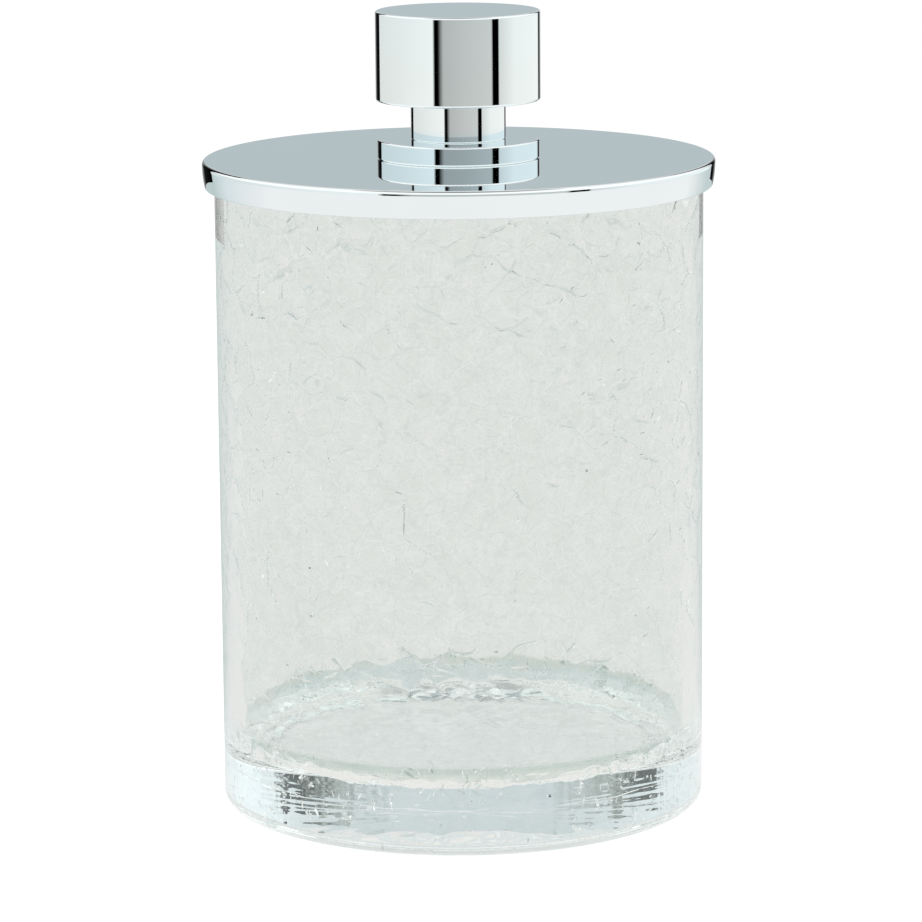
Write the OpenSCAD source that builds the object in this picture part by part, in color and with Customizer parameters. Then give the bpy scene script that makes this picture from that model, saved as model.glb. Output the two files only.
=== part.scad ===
// Storage jar of crackled glass with a turned metal lid and a cylindrical knob.
// Millimetres, +Z up. The origin is the centre of the face that the jar stands on.
// Everything is turned about the Z axis.

/* [Jar] */
// Outer diameter of the glass
jar_d = 107; // [95:0.5:120]
// Height of the glass rim above the table
jar_h = 140.2; // [120:0.1:170]
// Wall thickness at the mouth
wall_top = 3; // [2.8:0.1:3.4]
// Wall thickness just above the inner corner
wall_low = 4; // [3.5:0.1:4.5]
// Thickness of the glass floor
floor_t = 14; // [10:0.5:17]
// Radius of the inner corner between wall and floor
corner_r = 4.8; // [3:0.1:10]
// Radius of the outer bottom edge
foot_r = 2; // [1:0.1:2.5]
// Width of the ring that the jar stands on
foot_w = 7; // [5:0.5:10]
// Depth of the hollow under the base
hollow_h = 0.4; // [0.3:0.1:1.5]

/* [Lid] */
// Thickness of the cover's metal
plate_t = 1.2; // [0.9:0.1:1.5]
// Height of the cover, from the skirt's lower edge to the top face
cover_h = 5.9; // [5:0.1:7]
// Radius of the cover's upper edge
cover_r = 0.8; // [0.5:0.1:1.1]
// Radius of the cover's slightly curved side, seen in section
side_r = 24; // [18:1:60]
// Radial gap between the skirt and the glass
skirt_gap = 1.4; // [1.0:0.1:1.8]

/* [Knob] */
// Diameter of the flange on the cover
flange_d = 35.6; // [30:0.1:40]
// Height of the flange
flange_h = 4.2; // [3.5:0.1:5]
// Diameter of the neck
neck_d = 20.8; // [18:0.1:24]
// Height of the neck
neck_h = 8.4; // [7:0.1:10]
// Diameter of the cap
cap_d = 36; // [30:0.1:40]
// Height of the cap
cap_h = 19.5; // [16:0.1:23]
// Bevel on the turned edges of the knob
edge = 0.5; // [0.3:0.1:0.7]

/* [Liner and seal] */
// Thickness of the liner's disc
liner_t = 1; // [0.8:0.1:1.2]
// Radial gap between the liner's ring and the mouth
liner_gap = 0.9; // [0.7:0.1:1.2]
// Depth of the liner's ring below its disc
liner_ring_h = 4.4; // [4.2:0.1:6.5]
// Thickness of the seal's lip, which the lid rests on
lip_t = 0.8; // [0.6:0.1:1]

/* [Fasteners] */
// Diameter of the stud
stud_d = 5; // [4:1:5]
// Depth of the tapped hole in the cap
tapped_h = 11; // [8:0.5:13]
// Length of stud below the nut
stud_end = 1.4; // [0.8:0.1:2]

/* [Hidden] */
$fn = 128;

glass_colour = [0.80, 0.88, 0.85, 0.45];
chrome_colour = [0.78, 0.80, 0.83];
liner_colour = [0.93, 0.93, 0.91];
seal_colour = [0.86, 0.88, 0.88, 0.8];
steel_colour = [0.62, 0.63, 0.64];

eps = 0.01;             // overreach of a cutting tool past a face
face_gap = 0.1;         // gap between faces that only rest on each other
thread_gap = 0.02;      // gap between the stud and the tapped hole
clear_gap = 0.25;       // gap between the stud and a plain hole
running_gap = 0.05;     // radial gap where the lid turns in its seal

jar_r = jar_d / 2;
mouth_r = jar_r - wall_top;
low_r = jar_r - wall_low;
lip_round = 1.2;        // radius of the fire-polished edges of the rim

// Heights of the faces in the stack on the rim
lip_z = jar_h + face_gap;
liner_z = lip_z + lip_t + face_gap;
plate_z = liner_z + liner_t;
cover_z = plate_z + plate_t;
flange_z = cover_z + flange_h;
neck_z = flange_z + neck_h;
cap_z = neck_z + cap_h;

cover_d = jar_d + 2 * (skirt_gap + plate_t);
liner_r = mouth_r - liner_gap;
liner_wall = 2.6;       // radial width of the liner's ring
groove_depth = 1.5;     // radial depth of the seal's groove
groove_foot = 1.2;      // height of the bead below the groove
seal_inner_r = liner_r - groove_depth + running_gap;
seal_outer_r = mouth_r - 0.3;
seal_lip_r = jar_r - 0.6;

// Fasteners, scaled from the stud
washer_d = 3 * stud_d;
washer_t = 0.2 * stud_d;
spring_d = 1.8 * stud_d;
spring_t = 0.24 * stud_d;
nut_w = 1.6 * stud_d;   // across flats
nut_h = 0.8 * stud_d;
washer_z = liner_z - washer_t;
spring_z = washer_z - spring_t;
nut_z = spring_z - nut_h;
stud_z = nut_z - stud_end;
stud_top = neck_z + tapped_h - 1;

// Points of an arc about [x, y], from angle a0 to a1
function arc(x, y, r, a0, a1, steps = 8) =
    [for (i = [0 : steps]) let (a = a0 + (a1 - a0) * i / steps) [x + r * cos(a), y + r * sin(a)]];

// Solid turned from an outline of [radius, height] points
module turned(outline) {
    rotate_extrude() polygon(outline);
}

// Turned disc with both outer edges bevelled and a hole through it
module drilled_disc(d, h, z, bevel, hole_r) {
    translate([0, 0, z]) difference() {
        turned([[0, 0], [d / 2 - bevel, 0], [d / 2, bevel], [d / 2, h - bevel], [d / 2 - bevel, h], [0, h]]);
        translate([0, 0, -eps]) cylinder(r = hole_r, h = h + 2 * eps);
    }
}

// Glass wall and thick floor, with a rounded inner corner and a hollow under the base
module glass_jar() {
    rim_in = mouth_r + lip_round;
    rim_out = jar_r - lip_round;
    ring_in = jar_r - foot_w;
    color(glass_colour) turned(concat(
        [[0, hollow_h], [ring_in - 2, hollow_h], [ring_in, 0]],
        arc(jar_r - foot_r, foot_r, foot_r, -90, 0),
        arc(rim_out, jar_h - lip_round, lip_round, 0, 90),
        arc(rim_in, jar_h - lip_round, lip_round, 90, 180),
        arc(low_r - corner_r, floor_t + corner_r, corner_r, 0, -90, 12),
        [[0, floor_t]]
    ));
}

// Spun metal cover: a flat disc and a slightly curved side that draws in below, open underneath
module lid_plate() {
    r = cover_d / 2;
    skirt_z = cover_z - cover_h;
    side_z = cover_z - cover_r;
    hem = 0.35;
    low_a = -asin((side_z - skirt_z - hem) / (side_r - hem));
    color(chrome_colour) turned(concat(
        [[stud_d / 2 + clear_gap, plate_z], [r - plate_t, plate_z], [r - plate_t, skirt_z]],
        arc(r - side_r + (side_r - hem) * cos(low_a), skirt_z + hem, hem, -90, low_a, 4),
        arc(r - side_r, side_z, side_r, low_a, 0, 10),
        arc(r - cover_r, side_z, cover_r, 0, 90),
        [[stud_d / 2 + clear_gap, cover_z]]
    ));
}

// Plastic liner: a disc under the cover, and a ring that enters the mouth and holds the seal
module lid_liner() {
    disc_r = cover_d / 2 - plate_t - 0.3;
    ring_z = liner_z - liner_ring_h;
    groove_r = liner_r - groove_depth;
    lead = 0.5;
    color(liner_colour) turned([
        [stud_d / 2 + clear_gap, liner_z], [liner_r - liner_wall, liner_z],
        [liner_r - liner_wall, ring_z], [liner_r - lead, ring_z], [liner_r, ring_z + lead],
        [liner_r, ring_z + groove_foot], [groove_r, ring_z + groove_foot],
        [groove_r, liner_z], [disc_r, liner_z], [disc_r, plate_z], [stud_d / 2 + clear_gap, plate_z]
    ]);
}

// Silicone seal: a band in the liner's groove, with a lip that lies on the rim
module seal_ring() {
    band_z = liner_z - liner_ring_h + groove_foot + face_gap;
    band_r = liner_r - 0.2;
    rib = 0.7;
    rib_z = (band_z + lip_z) / 2;
    color(seal_colour) turned([
        [seal_inner_r, band_z], [band_r, band_z], [band_r, rib_z - rib],
        [seal_outer_r, rib_z], [band_r, rib_z + rib], [band_r, lip_z],
        [seal_lip_r, lip_z], [seal_lip_r, lip_z + lip_t], [seal_inner_r, lip_z + lip_t]
    ]);
}

module knob_flange() {
    color(chrome_colour) drilled_disc(flange_d, flange_h, cover_z, edge, stud_d / 2 + clear_gap);
}

module knob_neck() {
    color(chrome_colour) drilled_disc(neck_d, neck_h, flange_z, edge / 2, stud_d / 2 + clear_gap);
}

// Solid cap with a blind tapped hole, drilled with a cone at its end
module knob_cap() {
    hole_r = stud_d / 2 + thread_gap;
    color(chrome_colour) translate([0, 0, neck_z]) difference() {
        turned([[0, 0], [cap_d / 2 - edge, 0], [cap_d / 2, edge],
                [cap_d / 2, cap_h - edge], [cap_d / 2 - edge, cap_h], [0, cap_h]]);
        translate([0, 0, -eps]) cylinder(r = hole_r, h = tapped_h + eps);
        translate([0, 0, tapped_h - eps]) cylinder(r1 = hole_r, r2 = 0, h = hole_r / 2);
    }
}

// Threaded stud with chamfered ends
module knob_stud() {
    chamfer = 0.6;
    color(steel_colour) turned([
        [0, stud_z], [stud_d / 2 - chamfer, stud_z], [stud_d / 2, stud_z + chamfer],
        [stud_d / 2, stud_top - chamfer], [stud_d / 2 - chamfer, stud_top], [0, stud_top]
    ]);
}

module flat_washer() {
    color(steel_colour) drilled_disc(washer_d, washer_t, washer_z, 0.1, stud_d / 2 + clear_gap);
}

// Split spring washer, pressed flat
module spring_washer() {
    split_w = 0.8;
    color(steel_colour) difference() {
        drilled_disc(spring_d, spring_t, spring_z, 0.1, stud_d / 2 + clear_gap);
        translate([0, 0, spring_z + spring_t / 2]) rotate([30, 0, 0])
            translate([spring_d / 2, 0, 0]) cube([spring_d, split_w, 3 * spring_t], center = true);
    }
}

// Hexagonal nut with its corners turned off
module hex_nut() {
    corner_d = nut_w / cos(30);
    color(steel_colour) translate([0, 0, nut_z]) difference() {
        intersection() {
            cylinder(d = corner_d, h = nut_h, $fn = 6);
            turned([[0, 0], [nut_w / 2, 0], [corner_d / 2, 0.3], [corner_d / 2, nut_h - 0.3],
                    [nut_w / 2, nut_h], [0, nut_h]]);
        }
        translate([0, 0, -eps]) cylinder(r = stud_d / 2 + thread_gap, h = nut_h + 2 * eps);
    }
}

glass_jar();
lid_plate();
lid_liner();
seal_ring();
knob_flange();
knob_neck();
knob_cap();
knob_stud();
flat_washer();
spring_washer();
hex_nut();
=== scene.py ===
"""Looks of a crackled-glass storage jar with a chrome lid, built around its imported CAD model.

Everything is in metres, in the frame of the CAD: +Z up, origin where the jar stands.
"""
import math
import random

import bmesh
import bpy
from mathutils import Matrix, Vector, geometry, noise

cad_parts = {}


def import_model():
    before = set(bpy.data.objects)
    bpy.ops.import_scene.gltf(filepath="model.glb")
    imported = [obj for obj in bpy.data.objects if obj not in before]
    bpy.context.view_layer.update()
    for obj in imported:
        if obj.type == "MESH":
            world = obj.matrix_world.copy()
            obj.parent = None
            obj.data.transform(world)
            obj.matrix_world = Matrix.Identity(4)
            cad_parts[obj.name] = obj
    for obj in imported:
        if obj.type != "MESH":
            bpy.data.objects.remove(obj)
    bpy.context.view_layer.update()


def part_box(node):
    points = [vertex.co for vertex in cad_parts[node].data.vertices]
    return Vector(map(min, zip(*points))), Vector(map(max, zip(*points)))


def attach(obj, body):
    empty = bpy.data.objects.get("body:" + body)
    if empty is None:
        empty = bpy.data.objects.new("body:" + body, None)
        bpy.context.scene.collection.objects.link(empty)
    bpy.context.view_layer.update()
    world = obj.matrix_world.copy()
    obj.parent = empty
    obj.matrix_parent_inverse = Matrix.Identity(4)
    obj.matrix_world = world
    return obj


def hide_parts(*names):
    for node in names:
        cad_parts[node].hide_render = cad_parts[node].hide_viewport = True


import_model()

MM = 0.001

# ---- sizes, from the CAD frame

JAR_LOW, JAR_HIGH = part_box("glass_jar")
JAR_R = JAR_HIGH.x
RIM_Z = JAR_HIGH.z
WALL_TOP = 3.0 * MM        # glass thickness at the mouth
WALL_LOW = 4.0 * MM        # glass thickness above the inner corner
FLOOR_Z = 14.0 * MM        # top face of the glass floor
CORNER_R = 4.8 * MM        # inner corner between wall and floor
FOOT_R = 2.0 * MM          # outer bottom edge
FOOT_W = 7.0 * MM          # width of the ring that the jar stands on
HOLLOW_H = 0.4 * MM        # depth of the hollow under the base
RIM_R = 1.2 * MM           # rounding of the rim
CLEAR_HOLE = 2.75 * MM     # radius of the plain holes round the stud
TAPPED_HOLE = 2.52 * MM    # radius of the holes that the stud screws into

rng = random.Random(7)


# ---- mesh helpers

def arc(x, y, radius, start, end, steps):
    """Points (radius, height) on an arc about (x, y), from angle start to end in degrees."""
    points = []
    for i in range(steps + 1):
        a = math.radians(start + (end - start) * i / steps)
        points.append((x + radius * math.cos(a), y + radius * math.sin(a)))
    return points


def polar(radius, azimuth, z):
    return Vector((radius * math.cos(azimuth), radius * math.sin(azimuth), z))


def rounded_side(radius, low, high, edge, steps):
    """Outline of a disc's side from height low to high, with rounded edges."""
    turn = radius - edge
    return arc(turn, low + edge, edge, -90, 0, steps) + arc(turn, high - edge, edge, 0, 90, steps)


def supported(outline, reach=0.06 * MM, closed=False):
    """The outline with extra points near the ends of its long stretches, which keep them shaded flat."""
    result = []
    pairs = list(zip(outline, outline[1:] + outline[:1]))
    if not closed:
        pairs.pop()
    for (r0, z0), (r1, z1) in pairs:
        result.append((r0, z0))
        length = math.hypot(r1 - r0, z1 - z0)
        if length > 6 * reach:
            for t in (reach / length, 1 - reach / length):
                result.append((r0 + (r1 - r0) * t, z0 + (z1 - z0) * t))
    if not closed:
        result.append(outline[-1])
    return result


def object_of(name, bm):
    """Object with the mesh of a bmesh, which is used up."""
    mesh = bpy.data.meshes.new(name)
    bm.to_mesh(mesh)
    bm.free()
    return new_object(name, mesh)


def new_object(name, mesh):
    obj = bpy.data.objects.new(name, mesh)
    bpy.context.scene.collection.objects.link(obj)
    return obj


def finish_mesh(name, bm, crease=50):
    """Object of a closed bmesh, with edges sharper than crease degrees shaded sharp."""
    bmesh.ops.recalc_face_normals(bm, faces=bm.faces)
    for edge in bm.edges:
        edge.smooth = edge.calc_face_angle(0) < math.radians(crease)
    return object_of(name, bm)


def add_ring(bm, radii, z, angles):
    """Vertices at height z. radii is one radius, or a list with one for each angle."""
    if not isinstance(radii, list):
        radii = [radii] * len(angles)
    return [bm.verts.new(polar(r, a, z)) for r, a in zip(radii, angles)]


def bridge(bm, ring_a, ring_b, smooth=True):
    count = len(ring_a)
    for i in range(count):
        j = (i + 1) % count
        bm.faces.new((ring_a[i], ring_a[j], ring_b[j], ring_b[i])).smooth = smooth


def cap_ring(bm, ring, tip):
    """Closes a ring with a fan of triangles to the vertex tip."""
    count = len(ring)
    for i in range(count):
        bm.faces.new((ring[i], ring[(i + 1) % count], tip)).smooth = True


def even_angles(count):
    return [2 * math.pi * i / count for i in range(count)]


def turned(name, outline, segments=192, closed=False):
    """Solid of revolution. outline is a list of (radius, height); radius 0 at an end closes it."""
    bm = bmesh.new()
    angles = even_angles(segments)
    rings = []
    for radius, z in supported(outline, closed=closed):
        rings.append(add_ring(bm, radius, z, angles) if radius > 1e-9 else bm.verts.new((0, 0, z)))
    pairs = list(zip(rings, rings[1:]))
    if closed:
        pairs.append((rings[-1], rings[0]))
    for a, b in pairs:
        if isinstance(a, list) and isinstance(b, list):
            bridge(bm, a, b)
        elif isinstance(a, list):
            cap_ring(bm, a, b)
        else:
            cap_ring(bm, b, a)
    return finish_mesh(name, bm)


def place(piece, body, node, material):
    """Puts a finished piece in its CAD node's stead."""
    piece.data.materials.append(material)
    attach(piece, body)
    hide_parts(node)


# ---- materials

def new_material(name):
    mat = bpy.data.materials.new(name)
    mat.use_nodes = True
    tree = mat.node_tree
    return mat, tree, tree.nodes["Principled BSDF"]


def noise_node(tree, size, detail=2.0, stretch=(1, 1, 1)):
    """Noise in object space, with features of about the given size in metres."""
    coords = tree.nodes.new("ShaderNodeTexCoord")
    scaled = tree.nodes.new("ShaderNodeMapping")
    scaled.inputs["Scale"].default_value = [s / size for s in stretch]
    tree.links.new(coords.outputs["Object"], scaled.inputs["Vector"])
    texture = tree.nodes.new("ShaderNodeTexNoise")
    texture.inputs["Scale"].default_value = 1
    texture.inputs["Detail"].default_value = detail
    tree.links.new(scaled.outputs["Vector"], texture.inputs["Vector"])
    return texture


def spread(tree, value, low, high, to_low=0.0, to_high=1.0):
    """The value, carried over from the range low to high to the range to_low to to_high."""
    node = tree.nodes.new("ShaderNodeMapRange")
    for name, level in (("From Min", low), ("From Max", high), ("To Min", to_low), ("To Max", to_high)):
        node.inputs[name].default_value = level
    tree.links.new(value, node.inputs["Value"])
    return node.outputs["Result"]


def ramp_node(tree, value, stops):
    """Colour that follows (value, colour) stops, blended evenly between them."""
    ramp = tree.nodes.new("ShaderNodeValToRGB")
    elements = ramp.color_ramp.elements
    for k, (position, colour) in enumerate(stops):
        element = elements[k] if k < 2 else elements.new(position)
        element.position = position
        element.color = (*colour, 1)
    tree.links.new(value, ramp.inputs["Fac"])
    return ramp.outputs["Color"]


def vary(tree, shader, texture, socket, low, high):
    """Drives a shader's value from low to high by a texture."""
    tree.links.new(spread(tree, texture.outputs["Fac"], 0.3, 0.7, low, high), shader.inputs[socket])


def vary_colour(tree, shader, texture, dark, light):
    """Mixes the shader's base colour from dark to light by a texture."""
    mix = ramp_node(tree, texture.outputs["Fac"], ((0.35, dark), (0.65, light)))
    tree.links.new(mix, shader.inputs["Base Color"])


def relief(tree, shader, texture, depth, strength=1.0):
    """Bump of the given depth in metres."""
    bump = tree.nodes.new("ShaderNodeBump")
    bump.inputs["Strength"].default_value = strength
    bump.inputs["Distance"].default_value = depth
    tree.links.new(texture.outputs["Fac"], bump.inputs["Height"])
    tree.links.new(bump.outputs["Normal"], shader.inputs["Normal"])


def colour_mix(tree, amount, before, after):
    """Colour that goes from before to after with the amount. Each is a socket or a plain colour."""
    mix = tree.nodes.new("ShaderNodeMix")
    mix.data_type = "RGBA"
    tree.links.new(amount, mix.inputs["Factor"])
    for name, colour in (("A", before), ("B", after)):
        if isinstance(colour, tuple):
            mix.inputs[name].default_value = (*colour, 1)
        else:
            tree.links.new(colour, mix.inputs[name])
    return mix.outputs["Result"]


def band(tree, value, stops):
    """Factor that follows (value, factor) stops."""
    curve = tree.nodes.new("ShaderNodeFloatCurve")
    low, high = stops[0][0], stops[-1][0]
    points = curve.mapping.curves[0].points
    for k, (at, factor) in enumerate(stops):
        spot = ((at - low) / (high - low), factor)
        if k < 2:
            points[k].location = spot
        else:
            points.new(*spot)
    for point in points:
        point.handle_type = "VECTOR"
    curve.mapping.update()
    tree.links.new(spread(tree, value, low, high), curve.inputs["Value"])
    return curve.outputs["Value"]


def math_node(tree, operation, *values):
    """Result of a math node. Each value is a socket or a number."""
    node = tree.nodes.new("ShaderNodeMath")
    node.operation = operation
    for socket, value in zip(node.inputs, values):
        if isinstance(value, (int, float)):
            socket.default_value = value
        else:
            tree.links.new(value, socket)
    return node.outputs[0]


def crease_lines(tree, size, width):
    """1 on the lines of an irregular net with cells of the given size, 0 between them."""
    coords = tree.nodes.new("ShaderNodeTexCoord")
    wobble = noise_node(tree, 0.7 * size, 2.0)
    shift = tree.nodes.new("ShaderNodeVectorMath")
    shift.operation = "MULTIPLY_ADD"
    shift.inputs[1].default_value = (0.8 * size,) * 3
    tree.links.new(wobble.outputs["Color"], shift.inputs[0])
    tree.links.new(coords.outputs["Object"], shift.inputs[2])
    net = tree.nodes.new("ShaderNodeTexVoronoi")
    net.feature = "DISTANCE_TO_EDGE"
    net.inputs["Scale"].default_value = 1 / size
    tree.links.new(shift.outputs[0], net.inputs["Vector"])
    return band(tree, net.outputs["Distance"], ((0, 1), (width, 0), (1, 0)))


# Where the glass is tinted greener with painted shade in the inner corner, and darkened by painted shade in
# the heap, as (metres, factor) stops
CORNER_RADII = ((0, 0), (44 * MM, 0), (46.5 * MM, 1), (51 * MM, 1), (51.5 * MM, 0), (100 * MM, 0))
CORNER_HEIGHTS = ((0, 0), (14.1 * MM, 0), (14.6 * MM, 0.4), (16.8 * MM, 0.5), (17.2 * MM, 1), (18.7 * MM, 1),
                  (19.1 * MM, 0), (150 * MM, 0))
# Where painted shade darkens the heap at the back of the floor, as (metres, factor) stops on each axis
HEAP_SHADE_X = ((-60 * MM, 0), (-21 * MM, 0), (-15 * MM, 1), (12 * MM, 1), (19 * MM, 0), (60 * MM, 0))
HEAP_SHADE_Y = ((-60 * MM, 0), (25 * MM, 0), (29 * MM, 1), (40 * MM, 0.8), (45 * MM, 0), (60 * MM, 0))
HEAP_SHADE_Z = ((0, 0), (10 * MM, 0), (12 * MM, 1), (20 * MM, 1), (22 * MM, 0), (150 * MM, 0))


def distance_from_axis(tree, position):
    """Distance of a position from the Z axis."""
    flat = tree.nodes.new("ShaderNodeVectorMath")
    flat.operation = "MULTIPLY"
    flat.inputs[1].default_value = (1, 1, 0)
    tree.links.new(position, flat.inputs[0])
    radius = tree.nodes.new("ShaderNodeVectorMath")
    radius.operation = "LENGTH"
    tree.links.new(flat.outputs[0], radius.inputs[0])
    return radius.outputs["Value"]


def glass_material():
    """Clear glass, hazy where it is crazed, with painted shade along dark lines and painted glints along
    white lines of the crack net, greener glass with painted shade in the inner corner, painted shade in
    patches of the heap at the back of the floor, and slow waves left by the mould."""
    mat, tree, shader = new_material("crackled_glass")
    shader.inputs["Transmission Weight"].default_value = 1
    shader.inputs["IOR"].default_value = 1.52
    haze = band(tree, noise_node(tree, 6 * MM, 3.0).outputs["Fac"], ((0.25, 0), (0.75, 1)))
    colour = colour_mix(tree, haze, (0.895, 0.925, 0.912), (0.955, 0.972, 0.965))
    # Painted shade: darker lines along a crack net in the glass's colour
    colour = colour_mix(tree, crease_lines(tree, 8.5 * MM, 0.035), colour, (0.85, 0.88, 0.875))
    # Painted glints: whiter lines along a finer crack net in the glass's colour
    colour = colour_mix(tree, crease_lines(tree, 5 * MM, 0.04), colour, (1, 1, 1))
    position = tree.nodes.new("ShaderNodeTexCoord").outputs["Object"]
    axes = tree.nodes.new("ShaderNodeSeparateXYZ")
    tree.links.new(position, axes.inputs[0])
    # Greener glass colour with painted shade in the inner corner
    corner = math_node(tree, "MULTIPLY", band(tree, distance_from_axis(tree, position), CORNER_RADII),
                       band(tree, axes.outputs["Z"], CORNER_HEIGHTS))
    colour = colour_mix(tree, corner, colour, (0.54, 0.63, 0.585))
    # Painted shade: dark patches in the glass's colour over the heap of lumps at the back of the floor
    heap = noise_node(tree, 4 * MM, 4.0).outputs["Fac"]
    heap = band(tree, heap, ((0.2, 0), (0.44, 0), (0.54, 1), (0.8, 1)))
    for axis, stops in zip("XYZ", (HEAP_SHADE_X, HEAP_SHADE_Y, HEAP_SHADE_Z)):
        heap = math_node(tree, "MULTIPLY", heap, band(tree, axes.outputs[axis], stops))
    colour = colour_mix(tree, heap, colour, (0.12, 0.16, 0.18))
    tree.links.new(colour, shader.inputs["Base Color"])
    vary(tree, shader, noise_node(tree, 9 * MM), "Roughness", 0.0, 0.006)
    relief(tree, shader, noise_node(tree, 14 * MM, 1.0), 0.02 * MM)
    return mat


def chrome_material(name, wave):
    """Bright chrome plate. wave is the size of the faint orange peel under the plating."""
    mat, tree, shader = new_material(name)
    shader.inputs["Metallic"].default_value = 1
    vary_colour(tree, shader, noise_node(tree, 22 * MM), (0.885, 0.925, 0.93), (0.905, 0.945, 0.95))
    vary(tree, shader, noise_node(tree, 3 * MM, 4.0), "Roughness", 0.012, 0.03)
    relief(tree, shader, noise_node(tree, wave), 0.0012 * MM)
    return mat


def liner_material():
    """Satin white moulded plastic with a fine spark-eroded grain."""
    mat, tree, shader = new_material("liner_plastic")
    vary_colour(tree, shader, noise_node(tree, 18 * MM), (0.70, 0.70, 0.675), (0.76, 0.76, 0.74))
    vary(tree, shader, noise_node(tree, 1.5 * MM), "Roughness", 0.38, 0.5)
    relief(tree, shader, noise_node(tree, 0.35 * MM, 3.0), 0.01 * MM)
    shader.inputs["Subsurface Weight"].default_value = 0.15
    shader.inputs["Subsurface Radius"].default_value = (0.001, 0.001, 0.0008)
    return mat


def silicone_material():
    """Milky translucent silicone, slightly dusty."""
    mat, tree, shader = new_material("seal_silicone")
    vary_colour(tree, shader, noise_node(tree, 10 * MM), (0.52, 0.57, 0.58), (0.60, 0.64, 0.65))
    vary(tree, shader, noise_node(tree, 2 * MM, 4.0), "Roughness", 0.28, 0.45)
    relief(tree, shader, noise_node(tree, 0.8 * MM), 0.008 * MM)
    shader.inputs["Transmission Weight"].default_value = 0.25
    shader.inputs["IOR"].default_value = 1.41
    shader.inputs["Subsurface Weight"].default_value = 0.4
    shader.inputs["Subsurface Radius"].default_value = (0.002, 0.002, 0.002)
    return mat


def steel_material(name, stretch):
    """Zinc-plated steel with machining marks, drawn out along the axes where stretch is small."""
    mat, tree, shader = new_material(name)
    shader.inputs["Metallic"].default_value = 1
    vary_colour(tree, shader, noise_node(tree, 4 * MM, 3.0), (0.56, 0.57, 0.58), (0.68, 0.685, 0.67))
    marks = noise_node(tree, 0.3 * MM, 3.0, stretch)
    vary(tree, shader, marks, "Roughness", 0.24, 0.42)
    relief(tree, shader, marks, 0.006 * MM)
    return mat


# ---- crackled glass

SEED_TRIES, CRACK_TRIES, GLINT_TRIES = 7000, 5600, 2400     # thrown at random; many of them are dropped
CELL = 8.8 * MM            # usual size of a shard near the mouth
STEP = 1.28 * MM           # length of one stretch of a crack line
CREASE_H = 0.8 * MM        # height of the fold where the wall turns into the corner
CORNER_Z = FLOOR_Z + CORNER_R
# Crack lines as (depth, half width at the surface) in mm. Most lines are only dents.
DENTS = ((0.012, 0.25), (0.02, 0.20), (0.03, 0.15), (0.035, 0.10), (0.05, 0.08))
CRACKS = ((0.04, 0.03), (0.06, 0.03), (0.08, 0.03), (0.12, 0.02))
CRACK_SHARE = 0.24         # share of the lines that are cracks
MEETING_DEPTH, MEETING_HALF = 0.004, 0.26   # the same where lines meet, in mm
LUMP = 0.85 * MM           # size of the lumps in the corner
CRACK_GAP = 0.02 * MM      # width of the cracks inside the glass
CROWDED = (-142, -38, 35, 128)     # azimuths about +X, in degrees, where the cracks of the base are crowded


class InnerWall:
    """The inner face of the glass wall, unrolled: u runs round it and v down it."""

    def __init__(self):
        self.ref_r = JAR_R - WALL_TOP
        self.low_r = JAR_R - WALL_LOW
        self.length = 2 * math.pi * self.ref_r
        self.start_z = RIM_Z - RIM_R
        self.height = self.start_z - CORNER_Z - CREASE_H

    def point(self, u, v, depth):
        """Place in space of (u, v), sunk by depth into the glass."""
        theta = u / self.ref_r
        r = self.ref_r + (self.low_r - self.ref_r) * v / self.height + depth
        return polar(r, theta, self.start_z - v)

    def fade(self, v):
        """1 over most of the wall, falling to almost nothing near the base."""
        return min(1, max(0.03, (0.88 - v / self.height) / 0.3))

    def patch(self, u, v, size, seed=0):
        """Smooth noise over the wall, about -1 to 1, with patches of the given size in metres."""
        theta = u / self.ref_r
        spot = polar(1, theta, v / self.ref_r) * (self.ref_r / size)
        return 2 * noise.noise(spot + Vector((seed, 0, 0)))


def scatter(face):
    """Seeds of the shards, thrown at random and kept apart: closer in some patches, wider below."""
    seeds = []
    for _ in range(SEED_TRIES):
        u, v = rng.uniform(0, face.length), rng.uniform(0.5 * MM, face.height - 0.5 * MM)
        spread = 0.80 + 0.30 * face.patch(u, v, 16 * MM) + rng.uniform(-0.16, 0.16)
        apart = CELL * max(0.42, spread) * (0.88 + 0.5 * (v / face.height) ** 2)
        clear = True
        for a, b in seeds:
            du = abs(u - a)
            du = min(du, face.length - du)
            if du < apart and abs(v - b) < apart and du * du + (v - b) ** 2 < apart * apart:
                clear = False
                break
        if clear:
            seeds.append((u, v))
    return seeds


def circumcentre(a, b, c):
    d = 2 * (a.x * (b.y - c.y) + b.x * (c.y - a.y) + c.x * (a.y - b.y))
    sa, sb, sc = a.length_squared, b.length_squared, c.length_squared
    x = (sa * (b.y - c.y) + sb * (c.y - a.y) + sc * (a.y - b.y)) / d
    y = (sa * (c.x - b.x) + sb * (a.x - c.x) + sc * (b.x - a.x)) / d
    return Vector((x, y))


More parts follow.
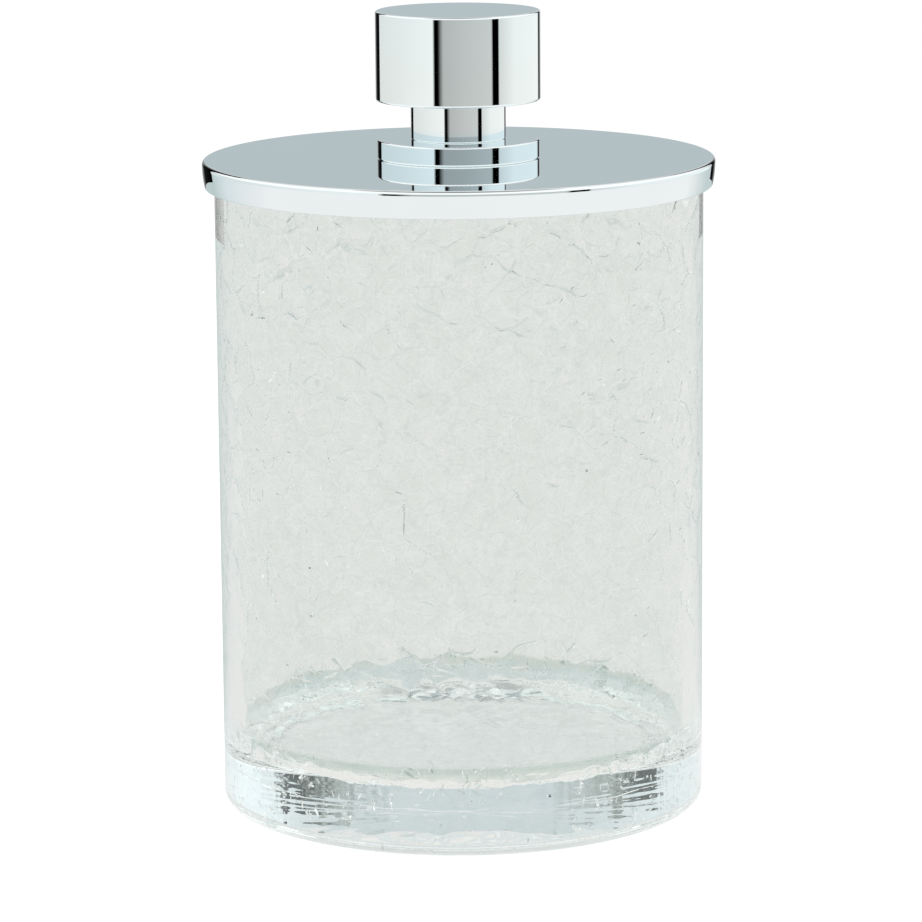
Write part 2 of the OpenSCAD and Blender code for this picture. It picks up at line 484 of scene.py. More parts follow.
def shards(face, seeds):
    """Voronoi cells of the seeds, periodic in u and cut straight at both ends by mirrored seeds.
    Gives for each seed its corners in order, and for each side the neighbour's number, or None at an end."""
    margin = 4 * CELL
    points, owner, own_place = [], [], []
    for shift in (0, -1, 1):
        for i, (u, v) in enumerate(seeds):
            x = u + shift * face.length
            if shift and not -margin < x < face.length + margin:
                continue
            if not shift:
                own_place.append(len(points))
            points.append((x, v))
            owner.append((i, False))
            if v < margin:
                points.append((x, -v))
                owner.append((i, True))
            if v > face.height - margin:
                points.append((x, 2 * face.height - v))
                owner.append((i, True))
    flat = [Vector((x / MM, y / MM)) for x, y in points]
    verts, _, tris, origin, _, _ = geometry.delaunay_2d_cdt(flat, [], [], 0, 1e-7)
    index = [o[0] for o in origin]
    centres = [circumcentre(*(verts[k] for k in tri)) * MM for tri in tris]
    fans = {}
    for t, tri in enumerate(tris):
        for k in range(3):
            here, after, before = index[tri[k]], index[tri[(k + 1) % 3]], index[tri[(k + 2) % 3]]
            fans.setdefault(here, {})[after] = (t, before)
    cells = []
    for i, start_place in enumerate(own_place):
        fan = fans[start_place]
        corners, sides = [], []
        start = spoke = next(iter(fan))
        while True:
            t, following = fan[spoke]
            t_next = fan[following][0]
            if (centres[t] - centres[t_next]).length > 1e-7:
                other, mirrored = owner[following]
                corners.append(centres[t])
                sides.append(None if mirrored and other == i else other)
            spoke = following
            if spoke == start:
                break
        cells.append((corners, sides))
    return cells


def side_line(face, a, b, pair):
    """Points (place, depth, half width) from a to b along a crack. The same for both shards beside it."""
    along = b - a
    count = max(1, round(along.length / STEP))
    if pair is None:
        return [(a + along * (k / count), 0.0, 0.1 * MM) for k in range(count)]
    local = random.Random(min(pair) * 100003 + max(pair))
    bend = local.uniform(-0.17, 0.17)
    wiggle = local.uniform(-0.06, 0.06)
    turns = local.choice((2, 3))
    fade = face.fade(a.y)
    share = CRACK_SHARE * (1 + 0.8 * face.patch(a.x, a.y, 30 * MM, 5))
    depth, half = local.choice(CRACKS if local.random() < share else DENTS)
    depth *= fade
    first = local.uniform(-0.3, 0.7)
    last = first + local.uniform(0.3, 0.6)
    normal = Vector((-along.y, along.x))
    points = []
    for k in range(count):
        t = k / count
        shift = bend * math.sin(math.pi * t) + wiggle * math.sin(turns * math.pi * t)
        p = a + along * t + normal * shift
        swell = 1.0 if k and first < t < last else 0.0
        points.append((p, (MEETING_DEPTH + (depth - MEETING_DEPTH) * swell) * fade * MM,
                       (MEETING_HALF + (half - MEETING_HALF) * swell) * MM))
    return points


def crackled_wall(bm, face):
    """Adds the crackled inner wall to bm."""
    for i, (corners, sides) in enumerate(shards(face, scatter(face))):
        outline = []
        for k, other in enumerate(sides):
            a, b = corners[k], corners[(k + 1) % len(corners)]
            if other is None or i < other:
                outline += side_line(face, a, b, None if other is None else (i, other))
            else:
                backwards = side_line(face, b, a, (i, other)) + [side_line(face, a, b, (i, other))[0]]
                outline += backwards[:0:-1]
        add_shard(bm, face, i, outline)


def add_shard(bm, face, number, outline):
    """One shard: the steep walls of the cracks round it, and its slightly domed and tilted face."""
    local = random.Random(number + 5)
    centre = sum((p for p, *_ in outline), Vector((0, 0))) / len(outline)
    fade = face.fade(centre.y)
    tilt = Vector((local.gauss(0, 0.010), local.gauss(0, 0.010))) * fade
    dome = local.uniform(-0.03, 0.07) * MM * fade
    lip = local.uniform(0.0, 0.02) * MM * fade
    rings = [[], [], []]
    for p, depth, half in outline:
        arm = p - centre
        length = max(arm.length, 1e-6)
        edge_cut = p.y < 1e-7 or p.y > face.height - 1e-7
        rings[0].append(bm.verts.new(face.point(p.x, p.y, 0.0 if edge_cut else depth)))
        for ring, share in ((1, 1 - half / length), (2, max(0.5, 1 - 1.1 * MM / length))):
            q = centre + arm * share
            sink = -dome * (1 - share ** 2) + tilt.dot(q - centre)
            if ring == 1:
                sink += lip
            rings[ring].append(bm.verts.new(face.point(q.x, q.y, sink)))
    middle = bm.verts.new(face.point(centre.x, centre.y, -dome))
    bridge(bm, rings[0], rings[1], smooth=False)
    bridge(bm, rings[1], rings[2])
    cap_ring(bm, rings[2], middle)


def edge_ring(bm, z):
    """Boundary vertices at height z, in order round the axis."""
    found = set()
    for edge in bm.edges:
        if edge.is_boundary and all(abs(v.co.z - z) < 1e-6 for v in edge.verts):
            found.update(edge.verts)
    return sorted(found, key=lambda v: math.atan2(v.co.y, v.co.x))


def lumps(spot):
    """Height of the folds and lumps in the corner of the glass, in metres, at a place in space."""
    near = noise.voronoi(spot / (5 * MM))[0]
    fold = math.exp(-(near[1] - near[0]) / 0.15)
    swell = noise.noise(spot / (9 * MM)) + 0.6 * noise.noise(spot / (3 * MM))
    return (0.42 * swell - 0.7 * fold + 0.2) * LUMP


def inner_corner(bm, previous, face):
    """The fold, the lumpy corner and the floor, continued from the ring where the wall ends. The lumps
    reach further in at the back, where they form a heap."""
    angles = [math.atan2(v.co.y, v.co.x) for v in previous]
    for radius, z in ((face.low_r + 0.10 * MM, CORNER_Z + 0.55 * CREASE_H),
                      (face.low_r + 0.02 * MM, CORNER_Z + 0.2 * CREASE_H)):
        ring = add_ring(bm, radius, z, angles)
        bridge(bm, previous, ring)
        previous = ring
    steps, more = 18, 17       # rings in the corner, and beyond it on the floor
    for i in range(1, steps + more):
        a = math.radians(min(90, 90 * i / steps))
        r = face.low_r - CORNER_R + CORNER_R * math.cos(a) - max(0, i - steps) * 1.3 * MM
        z = CORNER_Z - CORNER_R * math.sin(a)
        fade = min(1, i / 6, max(0, steps + 6 - i) / 8)
        ring = []
        for theta in angles:
            spot = polar(r, theta, z)
            at_back = math.exp(-((math.degrees(theta) - 92) / 24) ** 4)
            heap = 1.3 * at_back * min(1, max(0, i - steps + 4) / 5, max(0, steps + more - 1 - i) / 3)
            sink = lumps(spot) * max(fade, heap)
            inward = Vector((-math.cos(a) * math.cos(theta), -math.cos(a) * math.sin(theta), math.sin(a)))
            ring.append(bm.verts.new(spot + inward * sink))
        bridge(bm, previous, ring)
        previous = ring
    for share in (0.75, 0.5, 0.25):
        ring = add_ring(bm, r * share, FLOOR_Z, angles)
        bridge(bm, previous, ring)
        previous = ring
    cap_ring(bm, previous, bm.verts.new((0, 0, FLOOR_Z)))


def outer_face(bm, previous):
    """Rim, outer wall, foot and the hollow under the base, from the ring at the top of the inner wall."""
    angles = [math.atan2(v.co.y, v.co.x) for v in previous]
    ring_in = JAR_R - FOOT_W
    outline = arc(JAR_R - WALL_TOP + RIM_R, RIM_Z - RIM_R, RIM_R, 180, 90, 5)
    outline += arc(JAR_R - RIM_R, RIM_Z - RIM_R, RIM_R, 90, 0, 5)
    outline += arc(JAR_R - FOOT_R, FOOT_R, FOOT_R, 0, -90, 7)
    outline += [(ring_in + 0.3 * MM, 0), (ring_in - 0.4 * MM, 0.08 * MM), (ring_in - 2 * MM, HOLLOW_H)]
    for radius, z in supported(outline)[1:]:
        ring = add_ring(bm, radius, z, angles)
        bridge(bm, previous, ring)
        previous = ring
    steps = 14
    for i in range(1, steps):
        ring = add_ring(bm, (ring_in - 2 * MM) * (1 - i / steps), HOLLOW_H, angles)
        for vert in ring:
            ripple = noise.noise(vert.co / (5 * MM)) + 0.4 * noise.noise(vert.co / (2.2 * MM))
            vert.co.z += 0.035 * MM * ripple
        bridge(bm, previous, ring)
        previous = ring
    cap_ring(bm, previous, bm.verts.new((0, 0, HOLLOW_H)))


def add_void(bm, triangles):
    """Adds a closed hollow inside the glass. Its faces look inwards, away from the glass."""
    centre = sum((v.co for tri in triangles for v in tri), Vector()) / (3 * len(triangles))
    for tri in triangles:
        a, b, c = tri
        looks_out = (b.co - a.co).cross(c.co - a.co).dot((a.co + b.co + c.co) / 3 - centre) > 0
        bm.faces.new((a, c, b) if looks_out else (a, b, c)).smooth = False


def inner_crack(bm, centre, normal, reach):
    """A thin flat crack inside the glass, ragged round its edge."""
    side = normal.orthogonal().normalized()
    other = normal.cross(side)
    turn = rng.uniform(0, math.pi)
    faces, corners = [[], []], 6
    for k in range(corners):
        a = 2 * math.pi * k / corners
        arm = reach * rng.uniform(0.5, 1.0)
        along, across = arm * math.cos(a), 0.3 * arm * math.sin(a)
        spot = centre + side * (along * math.cos(turn) - across * math.sin(turn))
        spot += other * (along * math.sin(turn) + across * math.cos(turn))
        for face, sign in zip(faces, (-0.5, 0.5)):
            face.append(bm.verts.new(spot + normal * (CRACK_GAP * sign)))
    triangles = []
    for face in faces:
        triangles += [(face[0], face[k], face[k + 1]) for k in range(1, corners - 1)]
    for k in range(corners):
        j = (k + 1) % corners
        triangles += [(faces[0][k], faces[0][j], faces[1][j]), (faces[0][k], faces[1][j], faces[1][k])]
    add_void(bm, triangles)


def base_cracks(bm):
    """Small upright cracks in the thick glass of the base and its inner corner, crowded in some places."""
    for _ in range(CRACK_TRIES):
        theta = rng.uniform(-math.pi, math.pi)
        in_base = rng.uniform(44, 53.0), rng.uniform(1.6, 12.6)
        in_corner = rng.uniform(50.6, 53.0), rng.uniform(12, 20)
        r, z = rng.choice((in_base, in_corner))
        spot = polar(r, theta, z) * MM
        crowd = 0.05 + 0.6 * noise.noise(spot / (12 * MM)) + 0.5 * noise.noise(spot / (5 * MM))
        for azimuth in CROWDED:
            away = (math.degrees(theta) - azimuth + 180) % 360 - 180
            crowd += 0.75 * math.exp(-(away / 17) ** 2)
        if rng.random() > crowd:
            continue
        reach = rng.choice((0.4, 0.6, 0.8, 1.2, 1.8)) * MM
        lean = theta + rng.uniform(-1.5, 1.5)
        normal = polar(1, lean, rng.uniform(-0.15, 0.15)).normalized()
        inner_crack(bm, spot, normal, reach)


def wall_glints(bm):
    """Small cracks inside the wall, standing square to it, in clusters."""
    for _ in range(GLINT_TRIES):
        theta = rng.uniform(-math.pi, math.pi)
        r, z = rng.uniform(51.4, 52.3), rng.uniform(21, 135)
        spot = polar(r, theta, z) * MM
        if rng.random() > 0.28 + 1.3 * noise.noise(spot / (11 * MM)):
            continue
        lean = rng.uniform(-math.pi / 2, math.pi / 2)
        normal = Vector((-math.sin(theta) * math.cos(lean), math.cos(theta) * math.cos(lean), math.sin(lean)))
        inner_crack(bm, spot, normal, rng.uniform(0.4, 1.15) * MM)


def base_fold(bm, start, end, z):
    """A thin wavy fold in the glass of the base, from one azimuth to another in degrees."""
    count = round(abs(end - start) / 1.6)
    rows = []
    for k in range(count + 1):
        theta = math.radians(start + (end - start) * k / count)
        spot = polar(1, theta, 0)
        height = z + 0.5 * MM * noise.noise(spot * 7 + Vector((0, 0, z / MM)))
        r = 50.3 * MM + 0.4 * MM * noise.noise(spot * 9)
        half = 0.55 * MM * math.sin(math.pi * min(1, (k + 0.2) / 4, (count + 0.2 - k) / 4) / 2)
        rows.append([bm.verts.new((spot.x * (r + dr), spot.y * (r + dr), height + dz))
                     for dr, dz in ((-half, 0), (0, 0.02 * MM), (half, 0), (0, -0.02 * MM))])
    for a, b in zip(rows, rows[1:]):
        for i in range(4):
            j = (i + 1) % 4
            bm.faces.new((a[i], b[i], b[j], a[j])).smooth = False
    bm.faces.new(rows[0]).smooth = False
    bm.faces.new(list(reversed(rows[-1]))).smooth = False


def bubble(bm, centre, radii, turn):
    """A flattened bubble inside the glass."""
    ball = bmesh.ops.create_uvsphere(bm, u_segments=20, v_segments=12, radius=1)["verts"]
    shape = Matrix.Translation(centre) @ Matrix.Rotation(turn, 4, "Z") @ Matrix.Diagonal((*radii, 1))
    bmesh.ops.transform(bm, matrix=shape, verts=ball)
    faces = {face for vert in ball for face in vert.link_faces}
    bmesh.ops.reverse_faces(bm, faces=list(faces))
    for face in faces:
        face.smooth = True


def glass_jar():
    face = InnerWall()
    bm = bmesh.new()
    crackled_wall(bm, face)
    bmesh.ops.remove_doubles(bm, verts=bm.verts, dist=1e-6)
    top = edge_ring(bm, face.start_z)
    low = edge_ring(bm, face.start_z - face.height)
    outer_face(bm, top)
    inner_corner(bm, low, face)
    bmesh.ops.recalc_face_normals(bm, faces=bm.faces)
    base_cracks(bm)
    wall_glints(bm)
    for k in range(8):
        start = -118 + 45 * k + rng.uniform(-6, 6)
        base_fold(bm, start, start + rng.uniform(30, 38), 9.8 * MM)
    bubble(bm, Vector((33.5, 37.6, 13.6)) * MM, Vector((3.3, 1.3, 2.6)) * MM, -math.radians(42))
    place(object_of("crackled_jar", bm), "jar", "glass_jar", glass_material())


# ---- lid and knob

def drilled_outline(node, edge, steps):
    """Outline of a disc in its node's place, with the stud's clear hole and rounded outer edges."""
    low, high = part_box(node)
    return [(CLEAR_HOLE, low.z), *rounded_side(high.x, low.z, high.z, edge, steps), (CLEAR_HOLE, high.z)]


def chrome_disc(name, node, edge, material):
    piece = turned(name, drilled_outline(node, edge, 6), closed=True)
    place(piece, "lid", node, material)


def knob_cap(material):
    """Solid cap, with the tapped hole that the stud screws into."""
    low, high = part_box("knob_cap")
    depth = 11 * MM
    outline = [(0, low.z + depth + TAPPED_HOLE / 2), (TAPPED_HOLE, low.z + depth), (TAPPED_HOLE, low.z)]
    outline += [*rounded_side(high.x, low.z, high.z, 0.5 * MM, 6), (0, high.z)]
    place(turned("turned_cap", outline, segments=256), "lid", "knob_cap", material)


def lid_cover():
    """Spun cover: flat top, rolled edge and a hemmed skirt."""
    low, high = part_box("lid_plate")
    r, t, edge, hem, side = high.x, 1.2 * MM, 0.8 * MM, 0.38 * MM, 24 * MM
    turn_z = high.z - edge
    foot = -math.asin((turn_z - low.z - hem) / (side - hem))
    outline = [(CLEAR_HOLE, high.z - t), *arc(r - t - 0.7 * MM, high.z - t - 0.6 * MM, 0.6 * MM, 90, 0, 4)]
    outline += [(r - t - 0.1 * MM, low.z + 0.25 * MM), (r - t + 0.1 * MM, low.z)]
    outline += arc(r - side + (side - hem) * math.cos(foot), low.z + hem, hem, -90, math.degrees(foot), 5)
    outline += arc(r - side, turn_z, side, math.degrees(foot), 0, 14)[1:-1]
    outline += arc(r - edge, turn_z, edge, 0, 90, 9)
    outline.append((CLEAR_HOLE, high.z))
    cover = turned("lid_cover", outline, segments=256, closed=True)
    place(cover, "lid", "lid_plate", chrome_material("lid_chrome", 9 * MM))


def liner():
    """Moulded liner: disc, ring with the seal's groove, and rounded edges."""
    low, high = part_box("lid_liner")
    ring_r = JAR_R - WALL_TOP - 0.9 * MM
    inner_r, groove_r = ring_r - 2.6 * MM, ring_r - 1.5 * MM
    under = high.z - 1 * MM
    foot = low.z + 1.2 * MM
    soft = 0.25 * MM
    outline = [(CLEAR_HOLE, under), *arc(inner_r - soft, under - soft, soft, 90, 0, 3)]
    outline += [(inner_r, low.z + soft), (inner_r + soft, low.z), (ring_r - 0.5 * MM, low.z)]
    outline += [(ring_r, low.z + 0.5 * MM), (ring_r, foot - 0.1 * MM), (ring_r - 0.1 * MM, foot)]
    outline += [(groove_r, foot), (groove_r, under)]
    outline += [*rounded_side(high.x, under, high.z, soft, 3), (CLEAR_HOLE, high.z)]
    piece = turned("moulded_liner", outline, closed=True)
    place(piece, "lid", "lid_liner", liner_material())


def seal():
    """Silicone band with a rounded rib, and the lip that lies on the rim."""
    low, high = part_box("seal_ring")
    inner_r = JAR_R - WALL_TOP - 2.35 * MM
    band_r = JAR_R - WALL_TOP - 1.1 * MM
    rib_r = JAR_R - WALL_TOP - 0.3 * MM
    lip_z = RIM_Z + 0.1 * MM
    rib_z = (low.z + lip_z) / 2
    rib = rib_r - band_r
    outline = [(inner_r, low.z + 0.1 * MM), (inner_r + 0.1 * MM, low.z), (band_r - 0.1 * MM, low.z)]
    outline += [(band_r, low.z + 0.1 * MM), *arc(band_r, rib_z, rib * 0.85, -90, 90, 8), (band_r, lip_z)]
    outline += arc(high.x - 0.35 * MM, lip_z + 0.35 * MM, 0.35 * MM, -90, 90, 6)
    outline += [(high.x - 0.35 * MM, high.z), (inner_r, high.z)]
    outline = [point for k, point in enumerate(outline) if not k or point != outline[k - 1]]
    piece = turned("silicone_seal", outline, closed=True)
    place(piece, "seal", "seal_ring", silicone_material())


# ---- fasteners

PITCH = 0.8 * MM           # of an M5 thread
THREAD_DEPTH = 0.42 * MM


def thread(theta, z):
    """0 at the crest and 1 at the root of a right-hand thread."""
    turn = (z / PITCH - theta / (2 * math.pi)) % 1.0
    return min(1, max(0, 1.6 * abs(2 * turn - 1) - 0.3))


def stud(material):
    """Threaded rod with chamfered ends."""
    low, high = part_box("knob_stud")
    radius, chamfer, count = high.x, 0.6 * MM, 32
    angles = even_angles(count)
    rows = round((high.z - low.z) / (PITCH / 7))
    bm = bmesh.new()
    first = previous = None
    for i in range(rows + 1):
        z = low.z + (high.z - low.z) * i / rows
        near_end = min(z - low.z, high.z - z)
        largest = radius - max(0, chamfer - near_end)
        radii = [min(largest, radius - THREAD_DEPTH * thread(a, z)) for a in angles]
        ring = add_ring(bm, radii, z, angles)
        if previous:
            bridge(bm, previous, ring)
        first, previous = first or ring, ring
    cap_ring(bm, first, bm.verts.new((0, 0, low.z)))
    cap_ring(bm, previous, bm.verts.new((0, 0, high.z)))
    place(finish_mesh("threaded_stud", bm, 60), "lid", "knob_stud", material)


def nut(material):
    """Hexagon nut, its corners turned off at 30 degrees, with a threaded hole."""
    low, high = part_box("hex_nut")
    flat, count = 4 * MM, 72
    corner = flat / math.cos(math.pi / 6)
    bevel_h = 0.3 * MM
    slope = (corner - flat) / bevel_h
    height = high.z - low.z
    angles = even_angles(count)
    bm = bmesh.new()
    levels = [0, bevel_h / 2, bevel_h, *(height * i / 12 for i in range(1, 12))]
    levels += [height - bevel_h, height - bevel_h / 2, height]
    outside = []
    for z in sorted(levels):
        limit = flat + slope * min(z, height - z)
        radii = []
        for a in angles:
            sixth = (a + math.pi / 6) % (math.pi / 3) - math.pi / 6
            radii.append(min(limit, flat / math.cos(math.pi / 6 - abs(sixth))))
        outside.append(add_ring(bm, radii, low.z + z, angles))
    inside = []
    steps = 32
    for i in range(steps + 1):
        z = low.z + height * i / steps
        lead = max(0, 0.35 * MM - min(z - low.z, high.z - z))
        radii = [TAPPED_HOLE + max(lead, 0.3 * MM * (1 - thread(a, z))) for a in angles]
        inside.append(add_ring(bm, radii, z, angles))
    for stack in (outside, inside):
        for a, b in zip(stack, stack[1:]):
            bridge(bm, a, b)
    bridge(bm, outside[0], inside[0])
    bridge(bm, outside[-1], inside[-1])
    place(finish_mesh("threaded_nut", bm, 25), "lid", "hex_nut", material)


def washer(material):
    outline = drilled_outline("flat_washer", 0.15 * MM, 3)
    piece = turned("pressed_washer", outline, segments=96, closed=True)
    place(piece, "lid", "flat_washer", material)


def spring_washer(material):
    """Split washer: one turn of square wire, with its ends cut at a slant."""
    low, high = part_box("spring_washer")
    hole, soft, count = CLEAR_HOLE, 0.12 * MM, 72
    split = math.radians(12)
    middle = (low.z + high.z) / 2
    section = [(hole, low.z + soft), (hole + soft, low.z), (high.x - soft, low.z), (high.x, low.z + soft),
               (high.x, high.z - soft), (high.x - soft, high.z), (hole + soft, high.z), (hole, high.z - soft)]
    bm = bmesh.new()
    rings = []
    for k in range(count + 1):
        ring = []
        for r, z in section:
            lean = (z - middle) / MM * 0.16
            a = split / 2 + (2 * math.pi - split) * k / count + lean
            ring.append(bm.verts.new(polar(r, a, z)))
        rings.append(ring)
    for a, b in zip(rings, rings[1:]):
        bridge(bm, a, b)
    bm.faces.new(rings[0])
    bm.faces.new(rings[-1])
    place(finish_mesh("split_washer", bm, 30), "lid", "spring_washer", material)


# ---- studio

CAMERA_PLACE = (0, -0.9508, 0.2654)
CAMERA_PITCH = 11.29       # degrees below the horizon
CAMERA_ROLL = -0.449       # degrees, about the line of sight
CAMERA_LENS = 170.75       # millimetres, on a 36 mm sensor


def camera():
    data = bpy.data.cameras.new("camera")
    data.lens = CAMERA_LENS
    data.sensor_width = 36
    data.clip_end = 50
    cam = new_object("camera", data)
    tip = Matrix.Rotation(math.radians(90 - CAMERA_PITCH), 4, "X")
    roll = Matrix.Rotation(math.radians(CAMERA_ROLL), 4, "Z")
    cam.matrix_world = Matrix.Translation(CAMERA_PLACE) @ tip @ roll
    bpy.context.scene.camera = cam


def glowing_material(name, colour, strength, paint=0.0):
    """Plain surface that gives off light, and takes some from the lamps if paint is above 0."""
    mat, _, shader = new_material(name)
    shader.inputs["Base Color"].default_value = (paint, paint, paint, 1)
    shader.inputs["Roughness"].default_value = 1
    shader.inputs["Specular IOR Level"].default_value = 0
    shader.inputs["Emission Color"].default_value = (*colour, 1)
    shader.inputs["Emission Strength"].default_value = strength
    return mat


def hide_from(obj, *rays):
    """Hides a studio object from rays of the given kinds."""
    for ray in rays:
        setattr(obj, "visible_" + ray, False)


def studio_disc(name, z, material, radius=6):
    bm = bmesh.new()
    bmesh.ops.create_circle(bm, cap_ends=True, radius=radius, segments=96)
    bmesh.ops.translate(bm, vec=(0, 0, z), verts=bm.verts)
    disc = object_of(name, bm)
    disc.data.materials.append(material)
    return disc


# The table as seen through the glass: discs of (radius, height, colour), each on top of the one before
GLASS_TABLES = {"table_behind_glass": (6, -0.4 * MM, (0.835, 0.83, 0.81)),
                "table_shade": (0.089, -0.3 * MM, (0.735, 0.785, 0.79)),
                "table_under_jar": (0.06, -0.2 * MM, (0.88, 0.87, 0.845))}


def floor():
    """Pale table. The camera sees it white; metal and glass see it as a light table a little dimmer."""
    seen = studio_disc("floor", -0.2 * MM, glowing_material("floor_white", (1, 1, 1), 1.0, 0.1))
    hide_from(seen, "glossy", "transmission")
    mirrored = studio_disc("table_in_mirror", -0.3 * MM,
                           banded_material("table_mirrored", TABLE_BANDS, PLAIN))
    hide_from(mirrored, "camera", "transmission", "diffuse")
    for name, (radius, z, colour) in GLASS_TABLES.items():
        behind = studio_disc(name, z, glowing_material(name, colour, 1.0), radius)
        hide_from(behind, "camera", "glossy", "diffuse")


STUDIO_R = 1.12            # radius of the studio walls, which only reflections and the glass see
# Brightness of the lower and the middle wall by azimuth, which is 0 behind the camera and + to its right
SIDE_BANDS = ((-180, 0.62, 0.59), (-150, 0.62, 0.59), (-144, 0.80, 0.78), (-85, 0.88, 0.84),
              (-34, 0.97, 0.94), (-33.5, 0.0, 0.0), (-27, 0.0, 0.0), (-20, 0.51, 0.40), (10, 0.58, 0.44),
              (47.5, 0.65, 0.52), (48.5, 0.0, 0.0), (58, 0.0, 0.0), (59, 0.74, 0.76), (85, 0.95, 0.95),
              (144, 1.0, 0.98), (152, 0.62, 0.59), (180, 0.62, 0.59))
LOWER_BANDS = [(azimuth, lower) for azimuth, lower, _ in SIDE_BANDS]
MIDDLE_BANDS = [(azimuth, middle) for azimuth, _, middle in SIDE_BANDS]
# Tint of the lower and the middle wall, by height in metres
LOWER_TINTS = ((0.0, (0.72, 0.90, 0.97)), (0.008, (0.74, 0.90, 0.97)), (0.013, (0.98, 0.99, 0.96)),
               (0.06, (0.96, 1.0, 0.985)), (0.24, (0.80, 0.92, 0.96)), (0.31, (0.80, 0.92, 0.96)))
LOWER_H, MIDDLE_H, UPPER_H = 0.2, 0.31, 2.6     # heights of the tops of the walls
UPPER_BANDS = ((-180, 0.62), (-150, 0.62), (-138, 0.9), (138, 0.9), (150, 0.62), (180, 0.62))
UPPER_TINTS = ((0.31, (0.80, 0.92, 0.96)), (0.36, (1.2, 1.2, 1.2)))
METAL_WALLS = {"wall_low": ((0, LOWER_H), LOWER_BANDS, LOWER_TINTS),
               "wall_middle": ((LOWER_H, MIDDLE_H), MIDDLE_BANDS, LOWER_TINTS),
               "wall_high": ((MIDDLE_H, 1.2, UPPER_H), UPPER_BANDS, UPPER_TINTS)}
PLAIN = ((0, (1, 1, 1)), (1, (1, 1, 1)))
# The ceiling as seen in the metal
CEILING_BANDS = ((-180, 0.34), (-120, 0.5), (-60, 0.3), (0, 0.22), (60, 0.3), (120, 0.5), (180, 0.34))
# The table as seen in the metal
TABLE_BANDS = ((-180, (0.53, 0.62, 0.62)), (-142, (0.53, 0.62, 0.62)), (-125, (0.74, 0.8, 0.82)),
               (-90, (0.92, 0.92, 0.92)), (120, (0.93, 0.93, 0.93)), (145, (0.58, 0.66, 0.66)),
               (180, (0.53, 0.62, 0.62)))
# The softer wall that is seen through the glass
GLASS_BANDS = ((-180, 0.76), (-165, 0.76), (-140, 0.93), (-80, 1.1), (-35, 1.05), (0, 0.95), (35, 1.05),
               (80, 1.1), (125, 1.14), (140, 1.08), (150, 0.85), (165, 0.76), (180, 0.76))
GLASS_TINTS = ((0.0, (0.95, 0.96, 0.93)), (0.24, (0.95, 1.0, 1.0)), (0.29, (0.82, 0.91, 0.93)),
               (0.37, (0.82, 0.91, 0.93)), (0.42, (1.1, 1.15, 1.15)), (0.6, (1.15, 1.2, 1.2)))
# Cards round the jar, by azimuth: black ones for the metal, grey ones for the glass
CARD_R = 0.5
METAL_CARD_H, GLASS_CARD_H = (0.055, 0.45), (0.115, 0.140)     # heights of their lower and upper edges
METAL_CARDS = {"black_left": ((-166, 0.5), (-155, 0.01), (-139, 0.0)),
               "black_right": ((149, 0.0), (156, 0.01), (164, 0.5))}
CARD_PALE, CARD_GREY = (0.80, 0.88, 0.89), (0.62, 0.69, 0.71)
CARD_DIM, CARD_DARK = (0.37, 0.42, 0.40), (0.07, 0.09, 0.085)
GLASS_CARDS = {"grey_left": ((-170, CARD_GREY), (-156, CARD_DIM), (-149, CARD_DARK), (-142, CARD_DARK),
                             (-139, CARD_PALE), (-134, CARD_PALE)),
               "grey_right": ((138, CARD_PALE), (144, CARD_PALE), (147, CARD_DARK), (153, CARD_DARK),
                              (160, CARD_DIM), (170, CARD_GREY))}
CARD_RAGGED = 22           # span over which the edges of the glass's cards wander, in degrees


def azimuth_ramp(tree, split, stops, ragged):
    """Colour from (azimuth in degrees, colour) stops, which wander over ragged degrees."""
    front = math_node(tree, "MULTIPLY", split.outputs["Y"], -1)
    turn = math_node(tree, "ARCTAN2", split.outputs["X"], front)
    if ragged:
        span = math.radians(ragged)
        turn = math_node(tree, "MULTIPLY_ADD", noise_node(tree, 9 * MM, 4.0).outputs["Fac"], span, turn)
        turn = math_node(tree, "SUBTRACT", turn, span / 2)
    share = spread(tree, turn, -math.pi, math.pi)
    return ramp_node(tree, share, [((azimuth + 180) / 360, colour) for azimuth, colour in stops])


def banded_material(name, stops, tints, ragged=0):
    """Glowing surface, banded by azimuth and tinted by height."""
    mat, tree, shader = new_material(name)
    spot = tree.nodes.new("ShaderNodeNewGeometry")
    split = tree.nodes.new("ShaderNodeSeparateXYZ")
    tree.links.new(spot.outputs["Position"], split.inputs[0])
    blend = tree.nodes.new("ShaderNodeMix")
    blend.data_type = "RGBA"
    blend.blend_type = "MULTIPLY"
    blend.inputs["Factor"].default_value = 1
    tree.links.new(azimuth_ramp(tree, split, stops, ragged), blend.inputs["A"])
    tree.links.new(ramp_node(tree, split.outputs["Z"], tints), blend.inputs["B"])
    tree.links.new(blend.outputs["Result"], shader.inputs["Emission Color"])
    shader.inputs["Emission Strength"].default_value = 1
    shader.inputs["Base Color"].default_value = (0, 0, 0, 1)
    shader.inputs["Specular IOR Level"].default_value = 0
    return mat


def curved_screen(name, radius, heights, stops, tints, hidden, ragged=0):
    """Upright glowing screen round the jar, with (azimuth, colour) stops. Hidden kinds of rays miss it."""
    bm = bmesh.new()
    start, end = stops[0][0], stops[-1][0]
    count = max(4, round((end - start) / (0.7 if ragged else 2.5)))
    angles = [math.radians(start + (end - start) * k / count - 90) for k in range(count + 1)]
    rings = [add_ring(bm, radius, z, angles) for z in heights]
    if ragged:
        for vert in rings[-1]:
            vert.co.z += 0.009 * noise.noise(vert.co / 0.02)
    for low, high in zip(rings, rings[1:]):
        for k in range(count):
            bm.faces.new((low[k], low[k + 1], high[k + 1], high[k])).smooth = True
    screen = object_of(name, bm)
    screen.data.materials.append(banded_material(name, stops, tints, ragged))
    hide_from(screen, "camera", "shadow", *hidden)


def grey_stops(levels):
    return [(azimuth, (level,) * 3) for azimuth, level in levels]


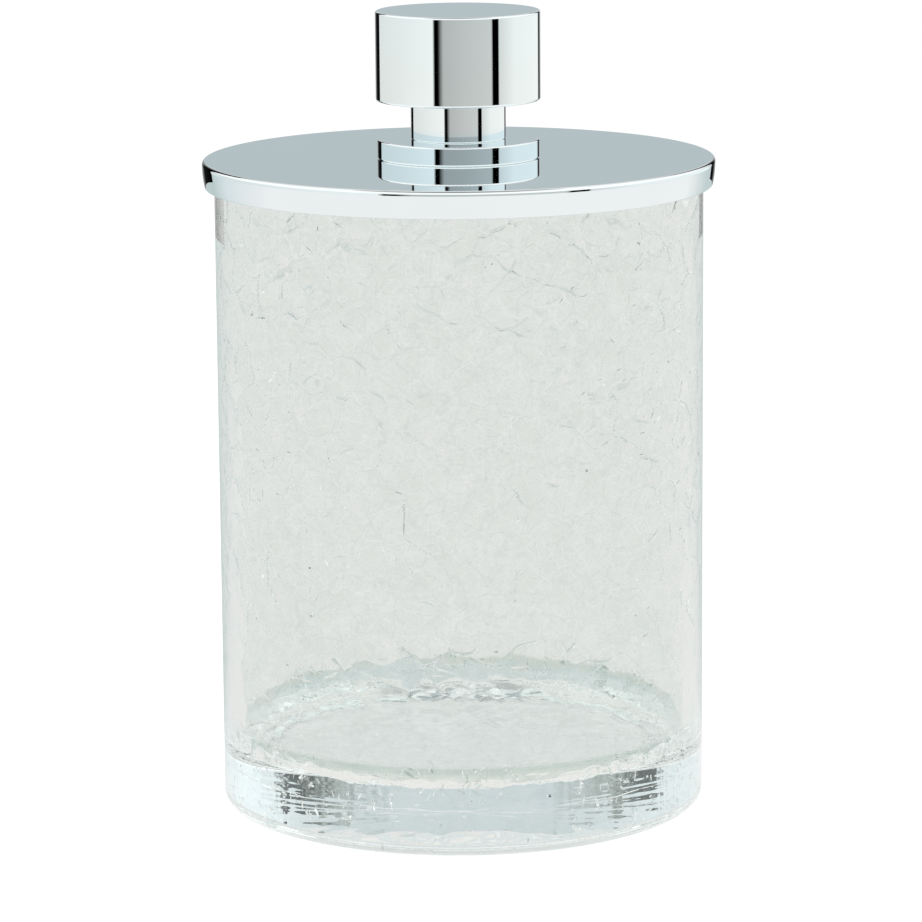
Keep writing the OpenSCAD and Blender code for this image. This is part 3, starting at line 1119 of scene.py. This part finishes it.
def studio():
    """Walls, ceiling, and the narrow cards that draw the dark lines in metal and glass."""
    for_metal, for_glass = ("transmission",), ("glossy", "diffuse")
    for name, (heights, levels, tints) in METAL_WALLS.items():
        curved_screen(name, STUDIO_R, heights, grey_stops(levels), tints, for_metal)
    heights = (0, 0.3, 1.2, UPPER_H)
    curved_screen("wall_glass", STUDIO_R, heights, grey_stops(GLASS_BANDS), GLASS_TINTS, for_glass)
    ceiling = studio_disc("ceiling", UPPER_H, banded_material("ceiling", grey_stops(CEILING_BANDS), PLAIN))
    hide_from(ceiling, "camera", "transmission", "diffuse", "shadow")
    for name, levels in METAL_CARDS.items():
        curved_screen(name, CARD_R, METAL_CARD_H, grey_stops(levels), PLAIN, ("transmission", "diffuse"))
    for name, stops in GLASS_CARDS.items():
        curved_screen(name, CARD_R, GLASS_CARD_H, stops, PLAIN, for_glass, CARD_RAGGED)


def world():
    """White sky for the camera and the glass. Reflections see the walls and the ceiling instead."""
    studio = bpy.data.worlds.new("studio")
    bpy.context.scene.world = studio
    studio.use_nodes = True
    studio.node_tree.nodes["Background"].inputs["Color"].default_value = (1, 1, 1, 1)
    for ray in ("diffuse", "glossy"):
        setattr(studio.cycles_visibility, ray, False)


def overhead_light():
    data = bpy.data.lights.new("overhead", "AREA")
    data.shape = "DISK"
    data.size = 1.4
    data.energy = 9
    lamp = new_object("overhead", data)
    lamp.location = (0, -0.2, 1.7)
    hide_from(lamp, "glossy", "transmission")


bpy.context.scene.view_settings.view_transform = "Standard"
for bounces in ("max_bounces", "glossy_bounces", "transmission_bounces"):
    setattr(bpy.context.scene.cycles, bounces, 96)     # light goes a long way inside the cracked glass
camera()
floor()
studio()
overhead_light()
world()

glass_jar()
lid_cover()
knob_chrome = chrome_material("knob_chrome", 6 * MM)
chrome_disc("turned_flange", "knob_flange", 0.35 * MM, knob_chrome)
chrome_disc("turned_neck", "knob_neck", 0.2 * MM, knob_chrome)
knob_cap(knob_chrome)
liner()
seal()
drawn_steel = steel_material("drawn_steel", (1, 1, 0.2))
turned_steel = steel_material("turned_steel", (0.2, 0.2, 1))
stud(drawn_steel)
nut(drawn_steel)
washer(turned_steel)
spring_washer(turned_steel)
